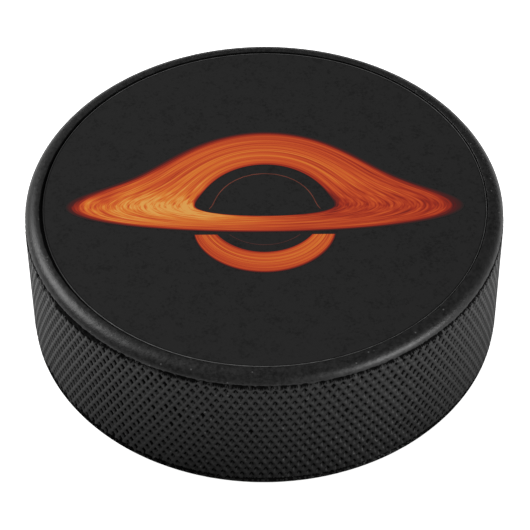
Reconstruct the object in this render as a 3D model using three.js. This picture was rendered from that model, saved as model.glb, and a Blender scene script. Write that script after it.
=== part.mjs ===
// A regulation-size ice hockey puck: one rubber moulding with a printed label set into its top face.
// Millimetres, +Z up. The origin is the middle of the underside, and -Y is the side the picture reads from.
import * as THREE from 'three';

// ---- Driving dimensions ----
const PUCK_RADIUS = 38.1; // 3 inches across
const PUCK_HEIGHT = 25.4; // 1 inch thick
const TURN_SEGMENTS = 108; // a multiple of 4, so that the puck is full width along X and Y

// The rim: a flat land round each face, then a rounded corner down to the textured band.
const RIM_ROUND_WIDTH = 2.3;
const RIM_ROUND_HEIGHT = 2.0;
const RIM_ROUND_STEPS = 9;
const SMOOTH_RIM_HEIGHT = 1.35; // from the face down to the groove that ends the smooth rim
const GROOVE_WIDTH = 0.75;
const GROOVE_DEPTH = 0.5;

// The same shallow recess is moulded in both faces. The label lies in the top one.
const RECESS_RADIUS = 35.45;
const RECESS_DEPTH = 0.4;

// The label, from the recess floor up.
const LABEL_RADIUS = 35.2;
const LABEL_SHIFT_X = 0.1; // the label was stuck on a little off centre
const ADHESIVE_THICKNESS = 0.05;
const FILM_THICKNESS = 0.14;
const INK_THICKNESS = 0.03;
const GROUND_INK_MARGIN = 0.12; // unprinted hairline left at the film's cut edge

// The picture: a thin glowing disc round a black hole, drawn by following light paths. Its lengths are in
// units of the hole's own radius, and PICTURE_SCALE is that radius on the label.
const PICTURE_SCALE = 3;
const HOLE_Y = -2; // from the label's centre, so that the picture reaches as far up as down
const DISC_INNER_RADIUS = 3; // nothing can circle the hole any nearer
const DISC_OUTER_RADIUS = 10;
const DISC_TILT = THREE.MathUtils.degToRad(80); // from face on
const LOWER_ARC_TOP = -1.9; // just under the disc's front edge, which hides the rest of the arc below it
const HAIRLINE_RING = 10; // the ring of the disc whose later images the two hairlines follow
const OUTLINE_STEPS = 128;
const ARC_STEPS = 32;
const HAIRLINE_WIDTH = 0.14 / PICTURE_SCALE;

// Levels in the label's own group, whose Z starts at the recess floor.
const FILM_BASE = ADHESIVE_THICKNESS;
const GROUND_INK_BASE = FILM_BASE + FILM_THICKNESS;
const PICTURE_INK_BASE = GROUND_INK_BASE + INK_THICKNESS;

// ---- Materials ----
const material = (color, roughness, metalness = 0) =>
  new THREE.MeshStandardMaterial({ color, roughness, metalness });

const rubber = material(0x1d1d1e, 0.72);
const adhesive = material(0xcfcbb8, 0.4);
const whiteFilm = material(0xb9b9b6, 0.5);
const blackInk = material(0x161617, 0.8);
const glowInk = material(0xd8531c, 0.65);

function namedMesh(name, geometry, finish) {
  const mesh = new THREE.Mesh(geometry, finish);
  mesh.name = name;
  return mesh;
}

// ---- Turned solids ----
// Turns a [radius, z] profile, given from the bottom up, round the Z axis.
function turned(profile) {
  const points = profile.map(([radius, z]) => new THREE.Vector2(radius, z));
  return new THREE.LatheGeometry(points, TURN_SEGMENTS).rotateX(Math.PI / 2);
}

const turnedDisc = (radius, base, top) =>
  turned([[0, base], [radius, base], [radius, top], [0, top]]);

// The top half of the puck's profile, from the textured band up to the axis.
function upperProfile() {
  const grooveTop = PUCK_HEIGHT - SMOOTH_RIM_HEIGHT;
  const roundCentreRadius = PUCK_RADIUS - RIM_ROUND_WIDTH;
  const roundCentreZ = PUCK_HEIGHT - RIM_ROUND_HEIGHT;
  const firstAngle = Math.asin((grooveTop - roundCentreZ) / RIM_ROUND_HEIGHT);
  const profile = [
    [PUCK_RADIUS, grooveTop - GROOVE_WIDTH],
    [PUCK_RADIUS - GROOVE_DEPTH, grooveTop - GROOVE_WIDTH / 2],
  ];
  for (let step = 0; step <= RIM_ROUND_STEPS; step++) {
    const angle = THREE.MathUtils.lerp(firstAngle, Math.PI / 2, step / RIM_ROUND_STEPS);
    profile.push([
      roundCentreRadius + RIM_ROUND_WIDTH * Math.cos(angle),
      roundCentreZ + RIM_ROUND_HEIGHT * Math.sin(angle),
    ]);
  }
  profile.push([RECESS_RADIUS, PUCK_HEIGHT]);
  profile.push([RECESS_RADIUS, PUCK_HEIGHT - RECESS_DEPTH]);
  profile.push([0, PUCK_HEIGHT - RECESS_DEPTH]);
  return profile;
}

// The underside is the top half turned over.
function puckBody() {
  const upper = upperProfile();
  const lower = upper.map(([radius, z]) => [radius, PUCK_HEIGHT - z]).reverse();
  return turned([...lower, ...upper]);
}

// ---- The picture's outlines ----
const LIGHT_STEP = 0.02; // radians swept by each step along a light path
const FARTHEST_RAY = 30;

// How far from the hole a light ray is after it has swept an angle round it, if it would have missed the
// hole's centre by missDistance. The inverse distance u bends as u'' = 1.5 u^2 - u.
function rayDistance(missDistance, sweep) {
  const steps = Math.ceil(sweep / LIGHT_STEP);
  const h = sweep / steps;
  let u = 0;
  let slope = 1 / missDistance;
  for (let step = 0; step < steps; step++) {
    const middle = u + (slope * h) / 2;
    slope += h * (1.5 * middle * middle - middle);
    u = middle + (slope * h) / 2;
    if (u >= 1) return 0; // fell in
    if (u <= 0) return Infinity; // flew off
  }
  return 1 / u;
}

// The point of the picture that shows one point of the disc, found from its ring's radius and its azimuth
// round the disc: 0 is to the right and a quarter turn is the far side. Image 1 is seen by the shortest
// way, image 2 by light that bends round the hole's other side, and image 3 by light that goes right round.
function picturePoint(ringRadius, azimuth, image) {
  const shortSweep = Math.acos(-Math.sin(azimuth) * Math.sin(DISC_TILT));
  const otherSide = image % 2 === 0;
  const sweep = otherSide ? image * Math.PI - shortSweep : (image - 1) * Math.PI + shortSweep;
  let near = 0.01;
  let far = FARTHEST_RAY;
  for (let halving = 0; halving < 40; halving++) {
    const middle = (near + far) / 2;
    if (rayDistance(middle, sweep) < ringRadius) near = middle;
    else far = middle;
  }
  const towards = new THREE.Vector2(Math.cos(azimuth), Math.sin(azimuth) * Math.cos(DISC_TILT));
  return towards.setLength(otherSide ? -near : near);
}

// The disc's far side is spread wide over the hole, so equal turns of this angle take smaller steps of
// azimuth there, and the outlines' points come out about evenly spaced.
const azimuthAt = (turn) => Math.atan2(Math.sin(turn), Math.sqrt(Math.cos(DISC_TILT)) * Math.cos(turn));

// A ring's outline as the picture shows it.
function ringOutline(ringRadius) {
  const outline = [];
  for (let step = 0; step < OUTLINE_STEPS; step++) {
    const azimuth = azimuthAt((step / OUTLINE_STEPS) * 2 * Math.PI);
    outline.push(picturePoint(ringRadius, azimuth, 1));
  }
  return outline;
}

// A ring's second image, below the disc, from one end of the cut at LOWER_ARC_TOP to the other.
function secondImageArc(ringRadius) {
  let above = 0;
  let below = Math.PI / 2;
  for (let halving = 0; halving < 30; halving++) {
    const middle = (above + below) / 2;
    if (picturePoint(ringRadius, azimuthAt(middle), 2).y > LOWER_ARC_TOP) above = middle;
    else below = middle;
  }
  const arc = [];
  for (let step = 0; step <= ARC_STEPS; step++) {
    const turn = THREE.MathUtils.lerp(below, Math.PI - below, step / ARC_STEPS);
    arc.push(picturePoint(ringRadius, azimuthAt(turn), 2));
  }
  return arc;
}

// A later image of the disc's near half is squeezed into a thin line round the hole. endGap is the angle
// left out at each end.
function hairline(image, endGap) {
  const arcAt = (offset) =>
    Array.from({ length: ARC_STEPS + 1 }, (_, step) => {
      const turn = THREE.MathUtils.lerp(-Math.PI + endGap, -endGap, step / ARC_STEPS);
      const point = picturePoint(HAIRLINE_RING, azimuthAt(turn), image);
      return point.setLength(point.length() + offset);
    });
  const outer = arcAt(HAIRLINE_WIDTH / 2);
  const inner = arcAt(-HAIRLINE_WIDTH / 2);
  return new THREE.Shape([...outer, ...inner.reverse()]);
}

// Raises a picture shape into its layer of ink.
function inkLayer(shape) {
  const layer = new THREE.ExtrudeGeometry(shape, { depth: INK_THICKNESS, bevelEnabled: false });
  return layer.scale(PICTURE_SCALE, PICTURE_SCALE, 1).translate(0, HOLE_Y, PICTURE_INK_BASE);
}

function accretionDisc() {
  const shape = new THREE.Shape(ringOutline(DISC_OUTER_RADIUS));
  shape.holes.push(new THREE.Path(ringOutline(DISC_INNER_RADIUS)));
  return shape;
}

function lowerArc() {
  const outer = secondImageArc(DISC_OUTER_RADIUS);
  const inner = secondImageArc(DISC_INNER_RADIUS);
  return new THREE.Shape([...outer, ...inner.reverse()]);
}

// ---- Assembly ----
const LOWER_HAIRLINE_GAP = THREE.MathUtils.degToRad(68);

const label = new THREE.Group();
label.position.set(LABEL_SHIFT_X, 0, PUCK_HEIGHT - RECESS_DEPTH);
label.add(
  namedMesh('label_adhesive', turnedDisc(LABEL_RADIUS, 0, FILM_BASE), adhesive),
  namedMesh('label_film', turnedDisc(LABEL_RADIUS, FILM_BASE, GROUND_INK_BASE), whiteFilm),
  namedMesh(
    'ink_black_ground',
    turnedDisc(LABEL_RADIUS - GROUND_INK_MARGIN, GROUND_INK_BASE, PICTURE_INK_BASE),
    blackInk,
  ),
  namedMesh('ink_accretion_disc', inkLayer(accretionDisc()), glowInk),
  namedMesh('ink_lower_arc', inkLayer(lowerArc()), glowInk),
  namedMesh('ink_upper_hairline', inkLayer(hairline(2, 0)), glowInk),
  namedMesh('ink_lower_hairline', inkLayer(hairline(3, LOWER_HAIRLINE_GAP)), glowInk),
);

const puck = new THREE.Group();
puck.add(namedMesh('puck_body', puckBody(), rubber), label);

export default puck;
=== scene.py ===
"""The looks of an ice hockey puck: a knurled rubber moulding with a printed label, on a pale table.

Shapes are worked out in millimetres and become metres in new_piece(). Angles round the puck start
at +X and grow anticlockwise, seen from above. The camera looks from the -Y side.
"""
import math

import bpy
import numpy as np
from mathutils import Matrix, Vector


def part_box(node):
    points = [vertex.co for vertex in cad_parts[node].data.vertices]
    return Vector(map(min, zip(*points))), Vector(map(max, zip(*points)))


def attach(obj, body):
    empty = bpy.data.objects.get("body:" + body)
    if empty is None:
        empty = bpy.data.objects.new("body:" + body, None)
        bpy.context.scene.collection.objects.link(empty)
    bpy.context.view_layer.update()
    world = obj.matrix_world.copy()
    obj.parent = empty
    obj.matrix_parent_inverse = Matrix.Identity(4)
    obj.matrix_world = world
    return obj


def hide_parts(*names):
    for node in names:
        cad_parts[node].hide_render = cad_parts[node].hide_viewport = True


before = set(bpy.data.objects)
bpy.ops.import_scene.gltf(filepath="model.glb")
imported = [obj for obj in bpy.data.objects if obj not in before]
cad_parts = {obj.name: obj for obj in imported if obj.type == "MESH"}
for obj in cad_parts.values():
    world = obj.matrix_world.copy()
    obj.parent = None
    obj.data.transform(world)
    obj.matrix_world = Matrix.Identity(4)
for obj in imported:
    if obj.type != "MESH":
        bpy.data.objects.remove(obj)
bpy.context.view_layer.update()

MM = 0.001  # metres
TURN = 2 * math.pi


# ---- Sizes, in millimetres ----
def box_mm(node):
    """A CAD node's lowest and highest corners, in millimetres."""
    return [np.array(corner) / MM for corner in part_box(node)]


PUCK_RADIUS = box_mm("puck_body")[1][0]
PUCK_HEIGHT = box_mm("puck_body")[1][2]
LABEL_LOW, LABEL_HIGH = box_mm("label_film")
LABEL_CENTRE_X = (LABEL_LOW[0] + LABEL_HIGH[0]) / 2
LABEL_RADIUS = (LABEL_HIGH[0] - LABEL_LOW[0]) / 2
GROUND_LOW, GROUND_HIGH = box_mm("ink_black_ground")
GROUND_RADIUS = (GROUND_HIGH[0] - GROUND_LOW[0]) / 2
PICTURE_LOW, PICTURE_HIGH = box_mm("ink_accretion_disc")

# The rim and the recesses, as in the CAD model.
RIM_ROUND_WIDTH = 2.3
RIM_ROUND_HEIGHT = 2.0
RECESS_RADIUS = 35.45
RECESS_DEPTH = 0.4
LIP_ROUNDING = 0.06
ROUND_STEPS = 10  # mesh rings round the rim's corner
RIM_DENT = 0.015  # about how far the rounded corner is dented
LIP_WANDER = 0.03  # about how far the lip strays from its circle

# The knurl: two families of slanting ridges that cross, with a pit in every diamond between them.
CELLS_ROUND = 162
CELLS_HIGH = 17  # half diamonds between the two grooves
KNURL_EDGE = 1.85  # from each face to the bottom of the groove that ends the knurl
PIT_DEPTH = 0.8
PIT_SIZES = (0.72, 1.12)  # the smallest and the largest, as a share of the pit depth
RIDGE_ROUGHNESS = 0.012  # unevenness from one vertex to the next
RIDGE_WANDER = 0.01  # unevenness in long waves round the puck
PAINTED_SHADE_FACE = 0.3  # faces with more pit shade than this take the black painted-shade material
GRID_LINES = (0.1, 0.24, 0.5, 0.76, 0.9)  # where the mesh is cut across one ridge pitch
RIDGE_PROFILE = (1.0, 0.62, 0.0, 0.62, 1.0)  # the ridge's height on those lines
LINES_ROUND = CELLS_ROUND * len(GRID_LINES)
LINES_HIGH = CELLS_HIGH * len(GRID_LINES)
GROOVE_DEPTH = 0.55
GROOVE_REACH = 0.5  # how far the groove's slope runs down into the knurl
GROOVE_LIP = 0.5  # from the bottom of the groove to the smooth rim
GROOVE_UNDERCUT = 0.35  # how far the groove's black wall lies inside the lip
TOP_GROOVE_SEED = 21
BOTTOM_GROOVE_SEED = 11
RAGGED_ANGLE = math.radians(204)  # on the left, the groove is wider and ragged
RAGGED_SPREAD = math.radians(30)
RAGGED_REACH = 0.9
CRUMBS = 0.95  # how far crumbs of rubber fill the groove there

# Towards the front (-Y), farther forward than this share of the puck's radius, the lower side of
# each pit is left out of the black painted shade, so that it catches the light.
FRONT_SHARE = 0.82
FRONT_SPREAD = 0.06  # how much that share varies from face to face

# A stretch of the recess's lip is worn back, on the left.
WEAR_ANGLE = math.radians(190)
WEAR_SPREAD = math.radians(20)
WEAR_DEPTH = 0.22

# The picture, as in the CAD model. The disc's lengths are in units of the hole's radius, and
# PICTURE_SCALE is that radius in millimetres.
PICTURE_SCALE = 3.0
HOLE_X = LABEL_CENTRE_X
HOLE_Y = -2.0
DISC_INNER_RADIUS = 3.0
DISC_OUTER_RADIUS = 10.0
DISC_TILT = math.radians(80)
LOWER_ARC_TOP = -1.9
WARMEST = 0.27  # about the disc's hottest spot, in the units that disc_warmth works in
PICTURE_RINGS = 44  # mesh lines from the disc's inner edge to its outer one
DISC_COLUMNS = 320
ARC_COLUMNS = 120
RAY_STEPS = 220
FARTHEST_RAY = 30.0

# The light, in metres. The glow's brightness is given at the two shadow radii.
FLOOR_HALF = 1.5
SHADOW_CENTRE = (0.004, -0.022, 0)
SHADOW_RADII = (0.022, 0.080)
TABLE_GLOW = (0.05, 1.08)
SOFTBOX_DISTANCE = 0.9
ROOM_LIGHT = 0.10

# Finishes.
BLACK_INK = (0.0164, 0.0164, 0.0164)
INK_ROUGHNESS = 0.8
INK_SPECULAR = 0.25


# ---- Camera ----
def add_camera():
    """A long lens, a little above 45 degrees."""
    elevation = math.radians(46.24)
    distance = 0.3895
    target = Vector((0.00008, 0, 0.01028))
    roll = math.radians(-0.37)
    data = bpy.data.cameras.new("camera")
    data.sensor_width = 36
    data.lens = 162
    camera = bpy.data.objects.new("camera", data)
    bpy.context.scene.collection.objects.link(camera)
    backward = Vector((0, -math.cos(elevation), math.sin(elevation)))
    aim = backward.to_track_quat("Z", "Y").to_matrix().to_4x4()
    place = Matrix.Translation(target + distance * backward)
    camera.matrix_world = place @ aim @ Matrix.Rotation(roll, 4, "Z")
    bpy.context.scene.camera = camera


# ---- Meshes ----
def new_piece(name, points, faces, material, replaced):
    """A smooth mesh piece that rides on the puck and stands for one CAD node."""
    mesh = bpy.data.meshes.new(name)
    mesh.from_pydata((np.asarray(points) * MM).tolist(), [], faces)
    mesh.validate()
    mesh.materials.append(material)
    mesh.shade_smooth()
    piece = bpy.data.objects.new(name, mesh)
    bpy.context.scene.collection.objects.link(piece)
    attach(piece, "root")
    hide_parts(replaced)
    return piece


def add_attribute(piece, name, values):
    """Stores one number for each vertex, for the material to read."""
    attribute = piece.data.attributes.new(name, "FLOAT", "POINT")
    attribute.data.foreach_set("value", np.asarray(values, np.float32))


def wobble(angles, lowest, highest, seed):
    """A smooth random curve round the puck, about -1 to 1, made of waves that meet up all round.

    lowest and highest say how many times a wave may repeat round the puck.
    """
    waves = 24
    random = np.random.default_rng(seed)
    counts = random.integers(lowest, highest + 1, waves)
    phases = random.uniform(0, TURN, waves)
    total = sum(np.sin(count * angles + phase) for count, phase in zip(counts, phases))
    return total / math.sqrt(waves)


class Skin:
    """Collects the rings of vertices that make up a turned body, and the faces between them."""

    def __init__(self):
        self.points = []
        # pits: how much painted shade each vertex takes, in the pits, the grooves and the gap round
        # the label.
        self.pits = []
        self.faces = []

    def add_ring(self, angles, radius, height, pit=0.0):
        """Adds a ring and returns its vertex numbers."""
        first = len(self.points)
        radius, height, pit = (np.broadcast_to(v, angles.shape) for v in (radius, height, pit))
        self.points.extend(np.stack([radius * np.cos(angles), radius * np.sin(angles), height], 1))
        self.pits.extend(pit)
        return list(range(first, first + len(angles)))

    def join(self, low, high):
        """Faces from one ring to the next. One of them may have half as many vertices."""
        if len(low) == len(high):
            for i in range(len(low)):
                j = (i + 1) % len(low)
                self.faces.append((low[i], low[j], high[j], high[i]))
            return
        fine, coarse = (low, high) if len(low) > len(high) else (high, low)
        for i in range(len(coarse)):
            near, far = coarse[i], coarse[(i + 1) % len(coarse)]
            a, b, c = fine[2 * i], fine[2 * i + 1], fine[(2 * i + 2) % len(fine)]
            if fine is low:
                self.faces += [(a, b, near), (b, c, far, near)]
            else:
                self.faces += [(near, b, a), (near, far, c, b)]

    def close(self, ring, height, top):
        """Fills a ring with a fan to a point on the axis."""
        self.points.append(np.array([0, 0, height]))
        self.pits.append(0.0)
        middle = len(self.points) - 1
        for i in range(len(ring)):
            a, b = ring[i], ring[(i + 1) % len(ring)]
            self.faces.append((a, b, middle) if top else (b, a, middle))


# ---- The rubber body ----
def line_phases(numbers):
    """The phase of mesh lines across the ridges, where a whole number is a ridge's middle."""
    whole, part = np.divmod(numbers, len(GRID_LINES))
    return whole + np.array(GRID_LINES)[part]


def groove_openness(angles, seed):
    """How fully the groove is open round the puck: 1, or less where rubber bridges it."""
    bridges = 0.8 + 0.6 * wobble(angles, 60, 330, seed) + 0.3 * wobble(angles, 8, 40, seed + 1)
    return np.clip(bridges, 0.1, 1.0)


def add_knurl(skin):
    """The textured band. Returns its lowest and highest rings.

    The mesh lines follow the ridges. Vertex (row, j) lies where line j + row of the one family
    crosses line j of the other. No two pits are quite alike, and the ridges are a little uneven.
    """
    numbers = np.arange(LINES_ROUND)
    profile = np.array(RIDGE_PROFILE)
    span = PUCK_HEIGHT - 2 * KNURL_EDGE
    random = np.random.default_rng(31)
    pit_size = random.uniform(*PIT_SIZES, (CELLS_ROUND, CELLS_HIGH + 1))
    rings = []
    for row in range(LINES_HIGH + 1):
        rising = line_phases(numbers + row)
        falling = line_phases(numbers)
        angles = TURN * (rising + falling) / (2 * CELLS_ROUND)
        level = (rising - falling) / CELLS_HIGH
        height = KNURL_EDGE + span * level
        ridge = profile[(numbers + row) % len(profile)]
        other_ridge = profile[numbers % len(profile)]
        size = pit_size[falling.astype(int), rising.astype(int) - falling.astype(int)]
        pit = (1 - ridge) * (1 - other_ridge) * size
        from_edge = span * np.minimum(level, 1 - level)
        seed = BOTTOM_GROOVE_SEED if row * 2 < LINES_HIGH else TOP_GROOVE_SEED
        openness = groove_openness(angles, seed)
        ragged = np.exp(-(((angles % TURN - RAGGED_ANGLE) / RAGGED_SPREAD) ** 2))
        reach = GROOVE_REACH + RAGGED_REACH * ragged * openness
        slope = np.clip(1 - from_edge / reach, 0, 1) * openness
        slope = slope * (1 - CRUMBS * ragged * random.uniform(0, 1, LINES_ROUND))
        unevenness = random.normal(0, RIDGE_ROUGHNESS, LINES_ROUND)
        unevenness = unevenness + RIDGE_WANDER * wobble(angles, 20, 90, 33)
        depth = np.maximum(PIT_DEPTH * pit + np.abs(unevenness), slope * GROOVE_DEPTH)
        # Painted shade: the pits and the groove's slope are painted darker, the darkest of them
        # black.
        shade_paint = np.maximum(pit, np.clip(3 * slope, 0, 1))
        rings.append(skin.add_ring(angles, PUCK_RADIUS - depth, height, shade_paint))
    for row in range(LINES_HIGH + 1):
        for j in range(LINES_ROUND):
            left, right = rings[row][j], (j + 1) % LINES_ROUND
            if row == 0:
                face = (left, rings[0][right], rings[1][j])
            elif row == LINES_HIGH:
                face = (left, rings[row - 1][right], rings[row][right])
            else:
                face = (left, rings[row - 1][right], rings[row][right], rings[row + 1][j])
            skin.faces.append(face)
    return rings[0], rings[-1]


def round_radius(rise):
    """The rounded corner's radius at a height, from 0 at its widest to 1 at the face."""
    return PUCK_RADIUS - RIM_ROUND_WIDTH * (1 - np.sqrt(1 - np.square(rise)))


def rim_rings(skin, start, side, seed):
    """The rings from the knurl's edge to the recess floor. side is 1 for the top and -1 for the
    underside."""

    def level(below_face):
        return PUCK_HEIGHT - below_face if side > 0 else below_face

    fine = start + TURN * np.arange(LINES_ROUND) / LINES_ROUND
    coarse = fine[::2]
    openness = groove_openness(fine, seed)
    lip_height = GROOVE_LIP * (0.7 + 0.3 * openness) + 0.02 * wobble(fine, 40, 300, seed + 2)
    lip_below = KNURL_EDGE - lip_height
    lip_radius = round_radius(1 - lip_below / RIM_ROUND_HEIGHT)
    wall_radius = lip_radius - GROOVE_UNDERCUT * openness
    wall_below = KNURL_EDGE - 0.6 * lip_height
    # The groove's wall takes painted shade, as much as the groove is open.
    rings = [
        skin.add_ring(fine, wall_radius, level(wall_below), openness),
        skin.add_ring(fine, lip_radius, level(lip_below)),
    ]
    # The rounded corner starts a little above the lip.
    first_angle = math.asin(1.06 - (KNURL_EDGE - GROOVE_LIP) / RIM_ROUND_HEIGHT)
    for step in range(ROUND_STEPS + 1):
        share = step / ROUND_STEPS
        angle = first_angle + (math.pi / 2 - first_angle) * share
        radius = round_radius(math.sin(angle))
        below = RIM_ROUND_HEIGHT * (1 - math.sin(angle))
        dent = RIM_DENT * wobble(coarse + 0.5 * share, 3, 90, seed + 4)
        rings.append(skin.add_ring(coarse, radius - np.abs(dent), level(below)))
    wear = WEAR_DEPTH * np.exp(-(((coarse - WEAR_ANGLE) / WEAR_SPREAD) ** 2)) if side > 0 else 0
    lip = RECESS_RADIUS + wear + LIP_WANDER * wobble(coarse, 2, 90, seed + 5)
    rings.append(skin.add_ring(coarse, lip + LIP_ROUNDING, level(0)))
    rings.append(skin.add_ring(coarse, lip + LIP_ROUNDING * 0.3, level(LIP_ROUNDING * 0.3)))
    gap = 1.0 if side > 0 else 0.0  # painted shade: the gap round the label is painted black
    rings.append(skin.add_ring(coarse, lip, level(LIP_ROUNDING), gap))
    rings.append(skin.add_ring(coarse, lip - 0.02, level(RECESS_DEPTH), gap))
    for share in (0.97, 0.66, 0.33):
        rings.append(skin.add_ring(coarse, RECESS_RADIUS * share, level(RECESS_DEPTH), gap))
    return rings


def takes_painted_shade(pits, far_forward):
    """Whether a face takes the black painted shade, in a pit or a groove. Towards the front, the
    lower side of a pit, whose last corner is the deepest, is left out, so that it catches the
    light."""
    lit_lower_side = far_forward and pits[-1] > max(pits[:-1])
    return sum(pits) > PAINTED_SHADE_FACE * len(pits) and not lit_lower_side


def add_rubber_body(material, painted_shade_material):
    """The whole moulding, from the middle of the underside to the middle of the top."""
    skin = Skin()
    lowest, highest = add_knurl(skin)
    half_cell = math.pi * CELLS_HIGH / CELLS_ROUND
    top = (highest, half_cell, 1, TOP_GROOVE_SEED)
    underside = (lowest, 0, -1, BOTTOM_GROOVE_SEED)
    for edge, start, side, seed in (top, underside):
        inner = edge
        for ring in rim_rings(skin, start, side, seed):
            pair = (inner, ring) if side > 0 else (ring, inner)
            skin.join(*pair)
            inner = ring
        floor = PUCK_HEIGHT - RECESS_DEPTH if side > 0 else RECESS_DEPTH
        skin.close(inner, floor, side > 0)
    name = "knurled_rubber_body"
    piece = new_piece(name, skin.points, skin.faces, material, "puck_body")
    add_attribute(piece, "pit", skin.pits)
    piece.data.materials.append(painted_shade_material)
    # Faces in the pits and grooves take the black painted-shade material.
    forward = np.array([-skin.points[face[0]][1] / PUCK_RADIUS for face in skin.faces])
    far_forward = forward > np.random.default_rng(41).normal(FRONT_SHARE, FRONT_SPREAD, len(forward))
    black = [takes_painted_shade([skin.pits[v] for v in face], there) for face, there in zip(skin.faces, far_forward)]
    piece.data.polygons.foreach_set("material_index", np.array(black, np.int32))


# ---- The picture ----
def ray_distance(miss_distance, sweep):
    """How far from the hole each light ray is after sweeping an angle round it.

    u is the inverse distance, which bends as u'' = 1.5 u^2 - u.
    """
    h = sweep / RAY_STEPS
    u = np.zeros_like(miss_distance)
    slope = 1 / miss_distance
    fallen = np.zeros(miss_distance.shape, bool)
    flown = np.zeros(miss_distance.shape, bool)
    for _ in range(RAY_STEPS):
        middle = u + slope * h / 2
        slope = slope + h * (1.5 * middle * middle - middle)
        u = middle + slope * h / 2
        fallen |= (u >= 1) & ~flown
        flown |= (u <= 0) & ~fallen
        u = np.clip(u, 0.001, 1)
    return np.where(fallen, 0, np.where(flown, np.inf, 1 / u))


def picture_points(radii, azimuths, image):
    """Where the picture shows points of the disc, in its own units. Image 2 is seen by light that
    comes round the hole's other side."""
    sweep = np.arccos(-np.sin(azimuths) * math.sin(DISC_TILT))
    if image == 2:
        sweep = TURN - sweep
    near = np.full(radii.shape, 0.01)
    far = np.full(radii.shape, FARTHEST_RAY)
    for _ in range(26):
        middle = (near + far) / 2
        inside = ray_distance(middle, sweep) < radii
        near = np.where(inside, middle, near)
        far = np.where(inside, far, middle)
    across = np.cos(azimuths)
    up = np.sin(azimuths) * math.cos(DISC_TILT)
    length = np.hypot(across, up) * (1 if image == 1 else -1)
    return near * across / length, near * up / length


def azimuth_at(turn):
    """Spreads points evenly along the picture, where the disc's far side is stretched wide."""
    return np.arctan2(np.sin(turn), math.sqrt(math.cos(DISC_TILT)) * np.cos(turn))


def disc_warmth(radii, azimuths):
    """How hot the disc looks, 0 to about 1, by the textbook law for a thin disc: cooler outwards,
    and hotter on the left, where its rings turn towards the eye. It fades out at the outer edge."""
    heat = ((1 - np.sqrt(DISC_INNER_RADIUS / radii)) / radii**3) ** 0.25
    speed = np.sqrt(0.5 / (radii - 1))
    shift = np.sqrt(1 - speed**2) / (1 + speed * np.cos(azimuths) * math.sin(DISC_TILT))
    warmth = heat * shift * np.sqrt(1 - 1 / radii)
    fade = np.clip(DISC_OUTER_RADIUS - radii, 0, 1)
    return fade * warmth / WARMEST


def ink_slab(name, radii, azimuths, image, closed, material, replaced):
    """A thin layer of ink over a patch of the disc, given on a grid of rings by azimuths."""
    x, y = picture_points(radii, azimuths, image)
    rows, columns = radii.shape
    flat = np.stack([HOLE_X + PICTURE_SCALE * x, HOLE_Y + PICTURE_SCALE * y], -1).reshape(-1, 2)
    levels = (PICTURE_HIGH[2], PICTURE_LOW[2])
    layers = [np.column_stack([flat, np.full(len(flat), level)]) for level in levels]
    under = len(flat)
    spans = columns if closed else columns - 1

    def number(row, column):
        return row * columns + column % columns

    faces = []
    for row in range(rows - 1):
        for column in range(spans):
            quad = (
                number(row, column),
                number(row + 1, column),
                number(row + 1, column + 1),
                number(row, column + 1),
            )
            faces += [quad, tuple(under + v for v in reversed(quad))]
    edges = []
    for column in range(spans):
        edges.append((number(0, column), number(0, column + 1)))
        edges.append((number(rows - 1, column + 1), number(rows - 1, column)))
    if not closed:
        for row in range(rows - 1):
            edges.append((number(row + 1, 0), number(row, 0)))
            edges.append((number(row, columns - 1), number(row + 1, columns - 1)))
    faces += [(a, b, under + b, under + a) for a, b in edges]
    piece = new_piece(name, np.concatenate(layers), faces, material, replaced)
    piece.data.shade_flat()
    attributes = {
        "ring_radius": radii,
        "warmth": disc_warmth(radii, azimuths),
        "rightward": np.cos(azimuths),
        "farward": np.sin(azimuths),
    }
    for attribute, values in attributes.items():
        add_attribute(piece, attribute, np.tile(values.ravel(), 2))


def add_disc_picture(material):
    """The disc's own image: the long bar with the hump of its far side bent up over the hole."""
    azimuths = azimuth_at(TURN * np.arange(DISC_COLUMNS) / DISC_COLUMNS)
    rings = np.linspace(DISC_INNER_RADIUS, DISC_OUTER_RADIUS, PICTURE_RINGS)
    radii, azimuths = np.meshgrid(rings, azimuths, indexing="ij")
    ink_slab("glow_ink_disc", radii, azimuths, 1, True, material, "ink_accretion_disc")


def add_lower_arc(material):
    """The disc's second image, under the hole, cut off level at the top."""
    radii = np.linspace(DISC_INNER_RADIUS, DISC_OUTER_RADIUS, PICTURE_RINGS)
    above = np.zeros(radii.shape)
    below = np.full(radii.shape, math.pi / 2)
    for _ in range(22):
        middle = (above + below) / 2
        over = picture_points(radii, azimuth_at(middle), 2)[1] > LOWER_ARC_TOP
        above = np.where(over, middle, above)
        below = np.where(over, below, middle)
    share = np.linspace(0, 1, ARC_COLUMNS)
    turns = below[:, None] + (math.pi - 2 * below[:, None]) * share[None, :]
    radii = np.broadcast_to(radii[:, None], turns.shape)
    ink_slab("glow_ink_lower_arc", radii, azimuth_at(turns), 2, False, material, "ink_lower_arc")


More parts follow.
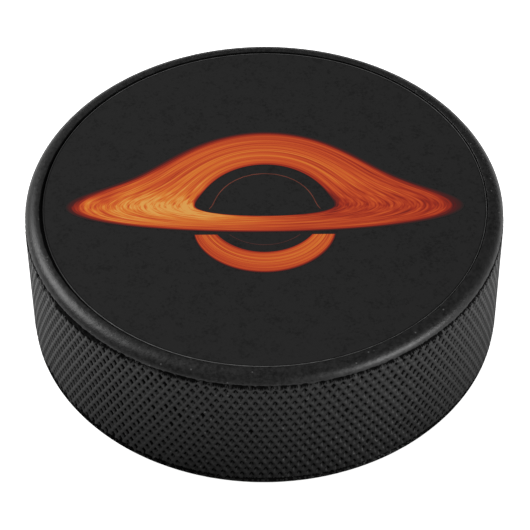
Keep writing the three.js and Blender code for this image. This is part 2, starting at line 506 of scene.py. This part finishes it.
# ---- Materials ----
class Paint:
    """A Principled material and short ways to add nodes to it."""

    def __init__(self, name):
        self.material = bpy.data.materials.new(name)
        self.material.use_nodes = True
        self.tree = self.material.node_tree
        self.shader = self.tree.nodes["Principled BSDF"]

    def add(self, kind, inputs, **settings):
        """Adds a node. inputs gives values, or other nodes' outputs, by input name or number."""
        node = self.tree.nodes.new(kind)
        for name, value in settings.items():
            setattr(node, name, value)
        for key, value in inputs.items():
            if isinstance(value, bpy.types.NodeSocket):
                self.tree.links.new(value, node.inputs[key])
            else:
                node.inputs[key].default_value = value
        return node

    def set(self, name, value):
        """Sets one of the shader's inputs to a value or another node's output."""
        if isinstance(value, bpy.types.NodeSocket):
            self.tree.links.new(value, self.shader.inputs[name])
        else:
            self.shader.inputs[name].default_value = value

    def place(self):
        """The point on the object, in metres."""
        return self.add("ShaderNodeTexCoord", {}).outputs["Object"]

    def noise(self, per_mm, detail, rough):
        """Cloudy noise, 0 to 1, with about per_mm waves in each millimetre."""
        inputs = {"Scale": per_mm / MM, "Detail": detail, "Roughness": rough}
        inputs["Vector"] = self.place()
        return self.add("ShaderNodeTexNoise", inputs).outputs["Fac"]

    def attribute(self, name):
        """A number stored on the mesh."""
        return self.add("ShaderNodeAttribute", {}, attribute_name=name).outputs["Fac"]

    def math(self, operation, a, b, clamp=False):
        """One sum."""
        inputs = {0: a, 1: b}
        node = self.add("ShaderNodeMath", inputs, operation=operation, use_clamp=clamp)
        return node.outputs[0]

    def spread(self, value, from_low, from_high, to_low, to_high):
        """Maps one range of values to another, and clamps it."""
        inputs = {0: value, 1: from_low, 2: from_high, 3: to_low, 4: to_high}
        return self.add("ShaderNodeMapRange", inputs).outputs[0]

    def ramp(self, value, stops):
        """Colours along a value: stops are (value, colour), from 0 to 1."""
        node = self.add("ShaderNodeValToRGB", {"Fac": value})
        ramp = node.color_ramp
        ramp.interpolation = "LINEAR"
        while len(ramp.elements) < len(stops):
            ramp.elements.new(1.0)
        for element, (position, colour) in zip(ramp.elements, stops):
            element.position = position
            element.color = (*colour, 1)
        return node.outputs["Color"]

    def mix(self, factor, first, second):
        """A colour between two others."""
        node = self.add("ShaderNodeMix", {}, data_type="RGBA")
        for key, value in ((0, factor), (6, first), (7, second)):
            if isinstance(value, bpy.types.NodeSocket):
                self.tree.links.new(value, node.inputs[key])
            else:
                node.inputs[key].default_value = value if key == 0 else (*value, 1)
        return node.outputs[2]

    def bump(self, height, depth_mm, strength, under=None):
        """A bump of that depth, on top of another one if under is given."""
        inputs = {"Height": height, "Distance": depth_mm * MM, "Strength": strength}
        if under:
            inputs["Normal"] = under
        return self.add("ShaderNodeBump", inputs).outputs["Normal"]


def grey(value):
    return (value, value, value)


def rubber():
    """Black rubber: mottled, with scuffed ridges and pale specks of dust, and painted shade that
    makes the pits, the grooves and the gap round the label near black.
    """
    paint = Paint("rubber")
    clouds = paint.noise(0.35, 4, 0.6)
    grain = paint.noise(1.8, 4, 0.7)
    colour = paint.mix(paint.spread(grain, 0.38, 0.62, 0, 1), grey(0.004), grey(0.018))
    colour = paint.mix(paint.spread(clouds, 0.4, 0.65, 0, 0.4), colour, grey(0.018))
    flatten = {0: paint.place(), 1: (1, 1, 0)}
    across = paint.add("ShaderNodeVectorMath", flatten, operation="MULTIPLY").outputs[0]
    length = paint.add("ShaderNodeVectorMath", {0: across}, operation="LENGTH")
    from_axis = length.outputs["Value"]
    scuff = paint.spread(from_axis, (PUCK_RADIUS - 0.18) * MM, (PUCK_RADIUS - 0.02) * MM, 0, 1)
    scuff = paint.math("MULTIPLY", scuff, paint.spread(grain, 0.35, 0.65, 0.3, 0.9))
    colour = paint.mix(scuff, colour, grey(0.028))
    dust = {"Vector": paint.place(), "Scale": 1.1 / MM}
    cells = paint.add("ShaderNodeTexVoronoi", dust, feature="F1")
    near_middle = paint.spread(cells.outputs["Distance"], 0.06, 0.2, 1, 0)
    chance = paint.add("ShaderNodeSeparateColor", {0: cells.outputs["Color"]}).outputs[0]
    chosen = paint.math("GREATER_THAN", chance, 0.82)
    speck = paint.math("MULTIPLY", near_middle, chosen)
    colour = paint.mix(paint.math("MULTIPLY", speck, 0.7), colour, grey(0.16))
    # Painted shade: the pits, the grooves and the gap round the label are painted near black.
    pit = paint.spread(paint.attribute("pit"), 0.1, 0.5, 0, 1)
    colour = paint.mix(pit, colour, grey(0.0006))
    paint.set("Base Color", colour)
    roughness = paint.spread(grain, 0.3, 0.7, 0.34, 0.46)
    duller = paint.math("MULTIPLY", pit, 0.2)
    paint.set("Roughness", paint.math("ADD", roughness, duller, clamp=True))
    paint.set("Specular IOR Level", 0.5)
    uneven = paint.bump(clouds, 0.12, 0.6)
    lumps = paint.bump(paint.noise(1.1, 3, 0.6), 0.05, 0.8, uneven)
    paint.set("Normal", paint.bump(paint.noise(3.5, 3, 0.6), 0.025, 0.8, lumps))
    return paint.material


def painted_shade_rubber():
    """Painted shade: a dull black for the bottoms of the pits, the grooves and the gap round the
    label.
    """
    paint = Paint("painted_shade_rubber")
    paint.set("Base Color", paint.mix(paint.noise(1.8, 4, 0.7), grey(0.0003), grey(0.003)))
    paint.set("Roughness", 0.9)
    paint.set("Specular IOR Level", 0.12)
    return paint.material


def black_ink():
    """The matte printed ground, with a darker line just inside its edge."""
    paint = Paint("black_ink")
    grain = paint.noise(2.2, 4, 0.7)
    clouds = paint.noise(0.45, 4, 0.65)
    fine_share = paint.math("MULTIPLY", grain, 0.65)
    both = paint.math("ADD", fine_share, paint.math("MULTIPLY", clouds, 0.35))
    light = paint.spread(both, 0.38, 0.62, 0.42, 1.58)
    colour = paint.mix(light, grey(0), BLACK_INK)
    centre = (LABEL_CENTRE_X * MM, 0, GROUND_HIGH[2] * MM)
    away = paint.add("ShaderNodeVectorMath", {0: paint.place(), 1: centre}, operation="DISTANCE")
    radius = paint.math("DIVIDE", away.outputs["Value"], MM)
    dark_edge_line = paint.spread(radius, GROUND_RADIUS - 0.22, GROUND_RADIUS - 0.08, 0, 1)
    paint.set("Base Color", paint.mix(dark_edge_line, colour, grey(0.001)))
    paint.set("Roughness", paint.spread(grain, 0.3, 0.7, 0.74, 0.86))
    paint.set("Specular IOR Level", INK_SPECULAR)
    paint.set("Normal", paint.bump(paint.noise(6, 2, 0.5), 0.008, 0.6))
    return paint.material


def label_film():
    """White film, with painted shade that makes it grey along its cut edge, patchy and most of all
    on the left.
    """
    paint = Paint("label_film")
    rightward = paint.add("ShaderNodeSeparateXYZ", {0: paint.place()}).outputs["X"]
    # Painted shade on the film's edge, darkest on the left.
    free_of_shade = paint.spread(rightward, -LABEL_RADIUS * MM, -0.7 * LABEL_RADIUS * MM, 0, 1)
    free_of_shade = paint.math("MULTIPLY", free_of_shade, paint.noise(0.8, 3, 0.6))
    paint.set("Base Color", paint.mix(free_of_shade, grey(0.01), grey(0.26)))
    paint.set("Roughness", 0.5)
    return paint.material


def label_adhesive():
    """Clear adhesive, dulled by dust where it shows at the edge."""
    paint = Paint("label_adhesive")
    clouds = paint.noise(1.5, 2, 0.5)
    paint.set("Base Color", paint.mix(clouds, (0.03, 0.03, 0.025), (0.09, 0.085, 0.07)))
    paint.set("Roughness", 0.35)
    return paint.material


def glow_ink():
    """The disc's glow, coloured by its warmth and streaked along its rings."""
    paint = Paint("glow_ink")
    radius = paint.attribute("ring_radius")
    rightward = paint.attribute("rightward")
    farward = paint.attribute("farward")

    def streaks(round_scale, ring_scale, detail):
        """Noise drawn out along the disc's rings."""
        scales = (round_scale, round_scale, ring_scale)
        values = (rightward, farward, radius)
        parts = [paint.math("MULTIPLY", v, scale) for v, scale in zip(values, scales)]
        swirl = paint.add("ShaderNodeCombineXYZ", dict(enumerate(parts))).outputs[0]
        inputs = {"Vector": swirl, "Scale": 1.0, "Detail": detail, "Roughness": 0.65}
        return paint.add("ShaderNodeTexNoise", inputs).outputs["Fac"]

    broad = paint.spread(streaks(1, 2, 2), 0.3, 0.7, 0.8, 1.2)
    fine = paint.spread(streaks(2, 6, 2), 0.3, 0.7, 0.7, 1.3)
    streaked = paint.math("MULTIPLY", broad, fine)
    colour = paint.ramp(
        paint.math("MULTIPLY", paint.attribute("warmth"), streaked),
        [
            (0.0, BLACK_INK),
            (0.2, (0.10, 0.01, 0.01)),
            (0.4, (0.45, 0.03, 0.01)),
            (0.6, (0.75, 0.10, 0.02)),
            (0.8, (0.90, 0.25, 0.03)),
            (1.0, (0.95, 0.45, 0.10)),
        ],
    )
    paint.set("Base Color", colour)
    paint.set("Roughness", INK_ROUGHNESS)
    paint.set("Specular IOR Level", INK_SPECULAR)
    return paint.material


def hairline_ink(name, dim, bright):
    """A thin line of ink that comes and goes."""
    paint = Paint(name)
    paint.set("Base Color", paint.mix(paint.noise(0.45, 2, 0.5), dim, bright))
    paint.set("Roughness", INK_ROUGHNESS)
    paint.set("Specular IOR Level", INK_SPECULAR)
    return paint.material


def dress(node, material):
    """Gives a CAD node its material."""
    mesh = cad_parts[node].data
    mesh.materials.clear()
    mesh.materials.append(material)


# ---- Floor and light ----
def add_sheet(name, material, half):
    """A flat square on the table's level."""
    mesh = bpy.data.meshes.new(name)
    corners = [(-half, -half, 0), (half, -half, 0), (half, half, 0), (-half, half, 0)]
    mesh.from_pydata(corners, [], [(0, 1, 2, 3)])
    mesh.materials.append(material)
    sheet = bpy.data.objects.new(name, mesh)
    bpy.context.scene.collection.objects.link(sheet)
    return sheet


def add_floor():
    """A plain white table. The light that it throws on the puck comes from a second sheet, which
    the camera doesn't see, and which is dimmer in the puck's own shadow."""
    paint = Paint("pale_table")
    paint.set("Base Color", (0.9, 0.9, 0.9, 1))
    paint.set("Roughness", 0.9)
    paint.set("Emission Color", (1, 1, 1, 1))
    paint.set("Emission Strength", 1.0)
    table = add_sheet("floor", paint.material, FLOOR_HALF)
    table.visible_diffuse = False
    table.visible_glossy = False
    paint = Paint("table_glow")
    ends = {0: paint.place(), 1: SHADOW_CENTRE}
    away = paint.add("ShaderNodeVectorMath", ends, operation="DISTANCE").outputs["Value"]
    paint.set("Base Color", (0, 0, 0, 1))
    paint.set("Specular IOR Level", 0)
    paint.set("Emission Color", (1, 1, 1, 1))
    paint.set("Emission Strength", paint.spread(away, *SHADOW_RADII, *TABLE_GLOW))
    glow_sheet = add_sheet("floor_glow", paint.material, FLOOR_HALF)
    glow_sheet.visible_camera = False


def add_softbox(name, direction, width, height, watts):
    """An area light that faces the puck from that direction."""
    data = bpy.data.lights.new(name, "AREA")
    data.shape = "RECTANGLE"
    data.size = width
    data.size_y = height
    data.energy = watts
    light = bpy.data.objects.new(name, data)
    direction = Vector(direction).normalized()
    aim = direction.to_track_quat("Z", "Y").to_matrix().to_4x4()
    light.matrix_world = Matrix.Translation(SOFTBOX_DISTANCE * direction) @ aim
    bpy.context.scene.collection.objects.link(light)


def add_lights():
    """Two softboxes in a dim room."""
    add_softbox("left_softbox", (-0.70, 0.32, 0.64), 0.46, 0.46, 5.2)
    add_softbox("right_softbox", (0.75, -0.47, 0.45), 0.52, 0.22, 4.8)
    world = bpy.data.worlds.new("room")
    world.use_nodes = True
    background = world.node_tree.nodes["Background"]
    background.inputs["Color"].default_value = (1, 1, 1, 1)
    background.inputs["Strength"].default_value = ROOM_LIGHT
    bpy.context.scene.world = world
    bpy.context.scene.view_settings.view_transform = "Standard"


add_camera()
add_rubber_body(rubber(), painted_shade_rubber())
glow = glow_ink()
add_disc_picture(glow)
add_lower_arc(glow)
dress("label_adhesive", label_adhesive())
dress("label_film", label_film())
dress("ink_black_ground", black_ink())
upper_ink = hairline_ink("upper_hairline_ink", (0.08, 0.025, 0.02), (0.30, 0.08, 0.05))
lower_ink = hairline_ink("lower_hairline_ink", (0.02, 0.015, 0.015), (0.12, 0.04, 0.035))
dress("ink_upper_hairline", upper_ink)
dress("ink_lower_hairline", lower_ink)
add_floor()
add_lights()
